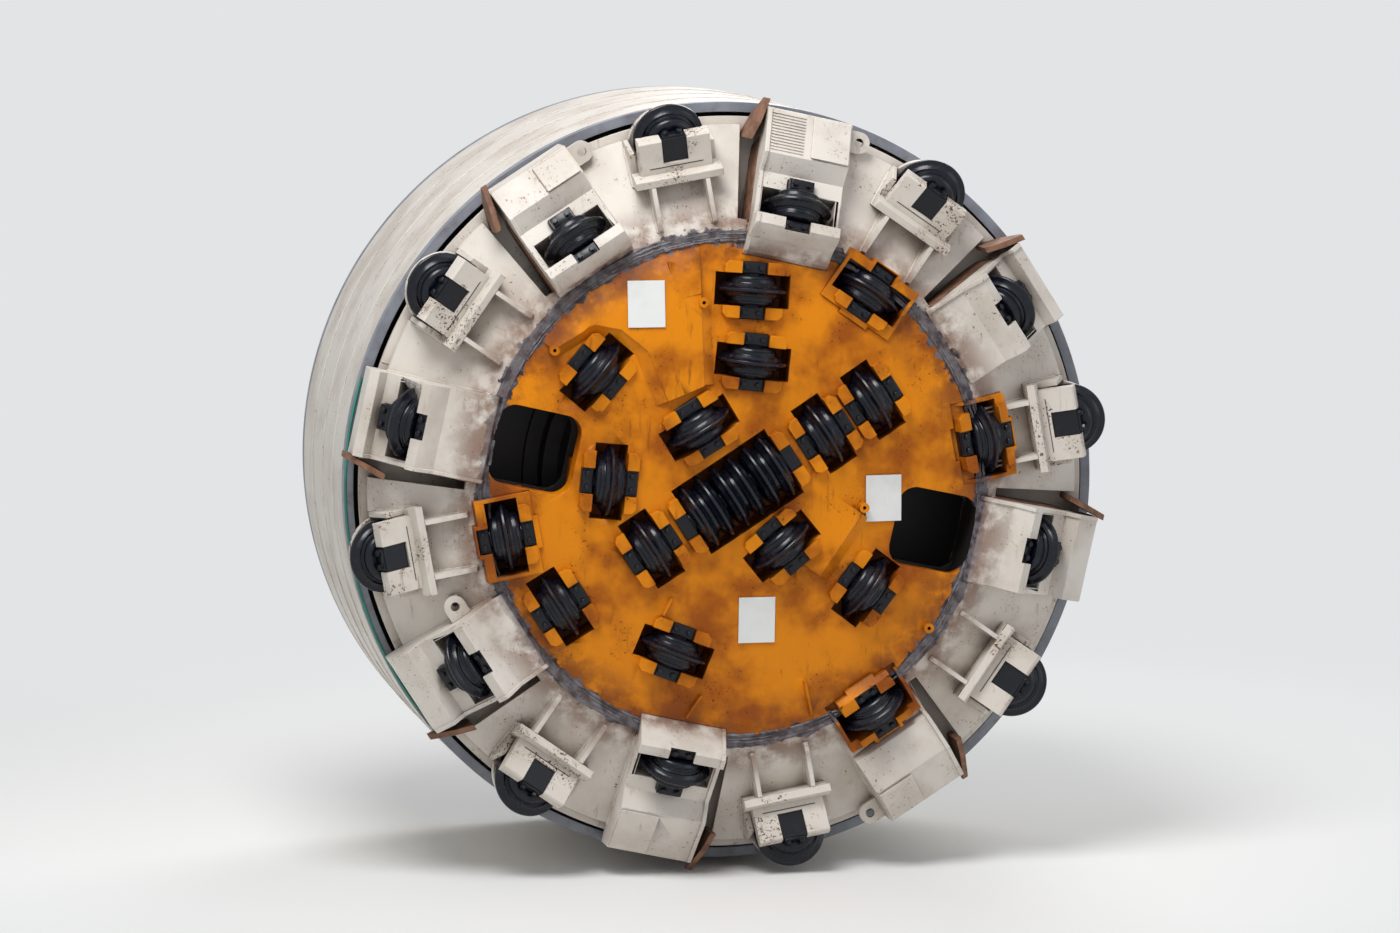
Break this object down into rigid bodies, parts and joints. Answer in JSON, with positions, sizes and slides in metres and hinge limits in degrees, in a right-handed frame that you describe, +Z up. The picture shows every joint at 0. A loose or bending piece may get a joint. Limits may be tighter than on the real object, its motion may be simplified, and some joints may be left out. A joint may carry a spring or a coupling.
{
  "type": "tunnel boring machine cutterhead on its front shield section",
  "caption": "Rotating hard-rock cutterhead with disc cutters, bucket arms and manholes, carried by a cylindrical front shield section with bearing, bulkhead and drives.",
  "frame": {"origin": "centre of the shield section's rear flange face", "axes": "head faces -Y, +X to the right seen from the front, +Z up"},
  "size_m": [4.6928, 2.71, 4.6928],
  "materials": {
    "white_paint": "cream white paint over welded plate, rust streaks and dirt",
    "orange_paint": "orange paint over welded plate, darker rusty streaks",
    "bare_steel": "grey machined and primed steel",
    "weld_steel": "unpainted weld band, dark grey steel",
    "rusty_steel": "rusted scraper plate",
    "black_steel": "black oiled forged steel",
    "cutter_steel": "glossy blue-black painted tool steel",
    "blue_paint": "blue machine enamel",
    "motor_grey": "blue-grey machine enamel"
  },
  "bodies": {
    "shield": {"shield_shell": "white_paint", "shield_front_rim": "bare_steel", "rear_flange": "bare_steel", "shield_stiffeners": "white_paint", "bulkhead": "white_paint", "main_bearing_housing": "bare_steel", "drive_gearboxes": "blue_paint", "drive_motors": "motor_grey", "muck_chute": "bare_steel"},
    "head": {"drum": "bare_steel", "back_plate": "bare_steel", "core_ring": "weld_steel", "face_plate": "orange_paint", "face_housings": "orange_paint", "rim_housings": "orange_paint", "skirt_panels": "white_paint", "rear_ring": "white_paint", "bucket_arms": "white_paint", "bucket_lips": "rusty_steel", "gauge_saddles": "white_paint", "gauge_gussets": "white_paint", "lifting_lugs": "white_paint", "cutter_shafts": "black_steel"},
    "face_cutter_1": {"face_cutter_1": "cutter_steel"},
    "face_cutter_2": {"face_cutter_2": "cutter_steel"},
    "face_cutter_3": {"face_cutter_3": "cutter_steel"},
    "face_cutter_4": {"face_cutter_4": "cutter_steel"},
    "face_cutter_5": {"face_cutter_5": "cutter_steel"},
    "face_cutter_6": {"face_cutter_6": "cutter_steel"},
    "face_cutter_7": {"face_cutter_7": "cutter_steel"},
    "face_cutter_8": {"face_cutter_8": "cutter_steel"},
    "face_cutter_9": {"face_cutter_9": "cutter_steel"},
    "face_cutter_10": {"face_cutter_10": "cutter_steel"},
    "face_cutter_11": {"face_cutter_11": "cutter_steel"},
    "face_cutter_12": {"face_cutter_12": "cutter_steel"},
    "face_cutter_13": {"face_cutter_13": "cutter_steel"},
    "face_cutter_14": {"face_cutter_14": "cutter_steel"},
    "face_cutter_15": {"face_cutter_15": "cutter_steel"},
    "face_cutter_16": {"face_cutter_16": "cutter_steel"},
    "arm_cutter_1": {"arm_cutter_1": "cutter_steel"},
    "arm_cutter_2": {"arm_cutter_2": "cutter_steel"},
    "arm_cutter_3": {"arm_cutter_3": "cutter_steel"},
    "arm_cutter_4": {"arm_cutter_4": "cutter_steel"},
    "arm_cutter_5": {"arm_cutter_5": "cutter_steel"},
    "arm_cutter_6": {"arm_cutter_6": "cutter_steel"},
    "arm_cutter_8": {"arm_cutter_8": "cutter_steel"},
    "gauge_cutter_1": {"gauge_cutter_1": "cutter_steel"},
    "gauge_cutter_2": {"gauge_cutter_2": "cutter_steel"},
    "gauge_cutter_3": {"gauge_cutter_3": "cutter_steel"},
    "gauge_cutter_4": {"gauge_cutter_4": "cutter_steel"},
    "gauge_cutter_5": {"gauge_cutter_5": "cutter_steel"},
    "gauge_cutter_6": {"gauge_cutter_6": "cutter_steel"},
    "gauge_cutter_7": {"gauge_cutter_7": "cutter_steel"},
    "gauge_cutter_8": {"gauge_cutter_8": "cutter_steel"},
    "centre_cutter_1": {"centre_cutter_1": "cutter_steel"},
    "centre_cutter_2": {"centre_cutter_2": "cutter_steel"},
    "centre_cutter_3": {"centre_cutter_3": "cutter_steel"}
  },
  "joints": [
    {"name": "head_spin", "type": "hinge", "parent": "shield", "child": "head", "pos_m": [0, -2.4, 0], "axis": [0, -1, 0], "continuous": true},
    {"name": "face_cutter_1_spin", "type": "hinge", "parent": "head", "child": "face_cutter_1", "pos_m": [-0.23383, -2.48301, 0.38915], "axis": [-0.515, 0, 0.8572], "continuous": true},
    {"name": "face_cutter_2_spin", "type": "hinge", "parent": "head", "child": "face_cutter_2", "pos_m": [0.27061, -2.48414, -0.33417], "axis": [0.6293, 0, -0.7771], "continuous": true},
    {"name": "face_cutter_3_spin", "type": "hinge", "parent": "head", "child": "face_cutter_3", "pos_m": [-0.5229, -2.4735, -0.33313], "axis": [-0.8434, 0, -0.5373], "continuous": true},
    {"name": "face_cutter_4_spin", "type": "hinge", "parent": "head", "child": "face_cutter_4", "pos_m": [0.53134, -2.47283, 0.3385], "axis": [0.8434, 0, 0.5373], "continuous": true},
    {"name": "face_cutter_5_spin", "type": "hinge", "parent": "head", "child": "face_cutter_5", "pos_m": [0.83664, -2.44152, 0.533], "axis": [0.8434, 0, 0.5373], "continuous": true},
    {"name": "face_cutter_6_spin", "type": "hinge", "parent": "head", "child": "face_cutter_6", "pos_m": [0.09561, -2.46118, 0.77865], "axis": [0.1219, 0, 0.9925], "continuous": true},
    {"name": "face_cutter_7_spin", "type": "hinge", "parent": "head", "child": "face_cutter_7", "pos_m": [-0.78089, -2.46118, 0.07519], "axis": [-0.9954, 0, 0.0958], "continuous": true},
    {"name": "face_cutter_8_spin", "type": "hinge", "parent": "head", "child": "face_cutter_8", "pos_m": [0.79693, -2.44061, -0.6049], "axis": [0.7965, 0, -0.6046], "continuous": true},
    {"name": "face_cutter_9_spin", "type": "hinge", "parent": "head", "child": "face_cutter_9", "pos_m": [-0.38156, -2.4367, -0.96371], "axis": [-0.3681, 0, -0.9298], "continuous": true},
    {"name": "face_cutter_10_spin", "type": "hinge", "parent": "head", "child": "face_cutter_10", "pos_m": [-0.84594, -2.4274, 0.7302], "axis": [-0.757, 0, 0.6534], "continuous": true},
    {"name": "face_cutter_11_spin", "type": "hinge", "parent": "head", "child": "face_cutter_11", "pos_m": [0.10079, -2.41676, 1.20028], "axis": [0.0835, 0.0698, 0.9941], "continuous": true},
    {"name": "face_cutter_12_spin", "type": "hinge", "parent": "head", "child": "face_cutter_12", "pos_m": [-1.06512, -2.40926, -0.67595], "axis": [-0.8423, 0.0698, -0.5345], "continuous": true},
    {"name": "face_cutter_13_spin", "type": "hinge", "parent": "head", "child": "face_cutter_13", "pos_m": [-1.38236, -2.38926, -0.25122], "axis": [-0.9743, 0.1392, -0.1771], "continuous": true},
    {"name": "face_cutter_14_spin", "type": "hinge", "parent": "head", "child": "face_cutter_14", "pos_m": [0.82226, -2.38548, 1.16995], "axis": [0.5694, 0.1392, 0.8102], "continuous": true},
    {"name": "face_cutter_15_spin", "type": "hinge", "parent": "head", "child": "face_cutter_15", "pos_m": [1.53731, -2.37522, 0.27661], "axis": [0.9627, 0.2079, 0.1732], "continuous": true},
    {"name": "face_cutter_16_spin", "type": "hinge", "parent": "head", "child": "face_cutter_16", "pos_m": [0.85968, -2.37617, -1.34943], "axis": [0.5165, 0.2756, -0.8107], "continuous": true},
    {"name": "arm_cutter_1_spin", "type": "hinge", "parent": "head", "child": "arm_cutter_1", "pos_m": [1.67835, -2.345, 1.06923], "axis": [0.6461, 0.6428, 0.4116], "continuous": true},
    {"name": "arm_cutter_2_spin", "type": "hinge", "parent": "head", "child": "arm_cutter_2", "pos_m": [0.37163, -2.448, 1.6763], "axis": [0.1977, 0.4067, 0.8919], "continuous": true},
    {"name": "arm_cutter_3_spin", "type": "hinge", "parent": "head", "child": "arm_cutter_3", "pos_m": [-0.96714, -2.429, 1.51811], "axis": [-0.4744, 0.4695, 0.7447], "continuous": true},
    {"name": "arm_cutter_4_spin", "type": "hinge", "parent": "head", "child": "arm_cutter_4", "pos_m": [-1.95747, -2.345, 0.43396], "axis": [-0.7479, 0.6428, 0.1658], "continuous": true},
    {"name": "arm_cutter_5_spin", "type": "hinge", "parent": "head", "child": "arm_cutter_5", "pos_m": [-1.60835, -2.391, -1.02463], "axis": [-0.6992, 0.5592, -0.4454], "continuous": true},
    {"name": "arm_cutter_6_spin", "type": "hinge", "parent": "head", "child": "arm_cutter_6", "pos_m": [-0.36795, -2.448, -1.6597], "axis": [-0.1977, 0.4067, -0.8919], "continuous": true},
    {"name": "arm_cutter_8_spin", "type": "hinge", "parent": "head", "child": "arm_cutter_8", "pos_m": [1.84813, -2.391, -0.40972], "axis": [0.8094, 0.5592, -0.1794], "continuous": true},
    {"name": "gauge_cutter_1_spin", "type": "hinge", "parent": "head", "child": "gauge_cutter_1", "pos_m": [2.11734, -2.26, 0.37334], "axis": [0.3848, 0.9205, 0.0678], "continuous": true},
    {"name": "gauge_cutter_2_spin", "type": "hinge", "parent": "head", "child": "gauge_cutter_2", "pos_m": [1.23319, -2.26, 1.76118], "axis": [0.2241, 0.9205, 0.3201], "continuous": true},
    {"name": "gauge_cutter_3_spin", "type": "hinge", "parent": "head", "child": "gauge_cutter_3", "pos_m": [-0.37334, -2.26, 2.11734], "axis": [-0.0678, 0.9205, 0.3848], "continuous": true},
    {"name": "gauge_cutter_4_spin", "type": "hinge", "parent": "head", "child": "gauge_cutter_4", "pos_m": [-1.76118, -2.26, 1.23319], "axis": [-0.3201, 0.9205, 0.2241], "continuous": true},
    {"name": "gauge_cutter_5_spin", "type": "hinge", "parent": "head", "child": "gauge_cutter_5", "pos_m": [-2.11734, -2.26, -0.37334], "axis": [-0.3848, 0.9205, -0.0678], "continuous": true},
    {"name": "gauge_cutter_6_spin", "type": "hinge", "parent": "head", "child": "gauge_cutter_6", "pos_m": [-1.23319, -2.26, -1.76118], "axis": [-0.2241, 0.9205, -0.3201], "continuous": true},
    {"name": "gauge_cutter_7_spin", "type": "hinge", "parent": "head", "child": "gauge_cutter_7", "pos_m": [0.37334, -2.26, -2.11734], "axis": [0.0678, 0.9205, -0.3848], "continuous": true},
    {"name": "gauge_cutter_8_spin", "type": "hinge", "parent": "head", "child": "gauge_cutter_8", "pos_m": [1.76118, -2.26, -1.23319], "axis": [0.3201, 0.9205, -0.2241], "continuous": true},
    {"name": "centre_cutter_1_spin", "type": "hinge", "parent": "head", "child": "centre_cutter_1", "pos_m": [-0.18555, -2.494, -0.11821], "axis": [0.8434, 0, 0.5373], "continuous": true},
    {"name": "centre_cutter_2_spin", "type": "hinge", "parent": "head", "child": "centre_cutter_2", "pos_m": [0, -2.494, 0], "axis": [0.8434, 0, 0.5373], "continuous": true},
    {"name": "centre_cutter_3_spin", "type": "hinge", "parent": "head", "child": "centre_cutter_3", "pos_m": [0.18555, -2.494, 0.11821], "axis": [0.8434, 0, 0.5373], "continuous": true}
  ]
}
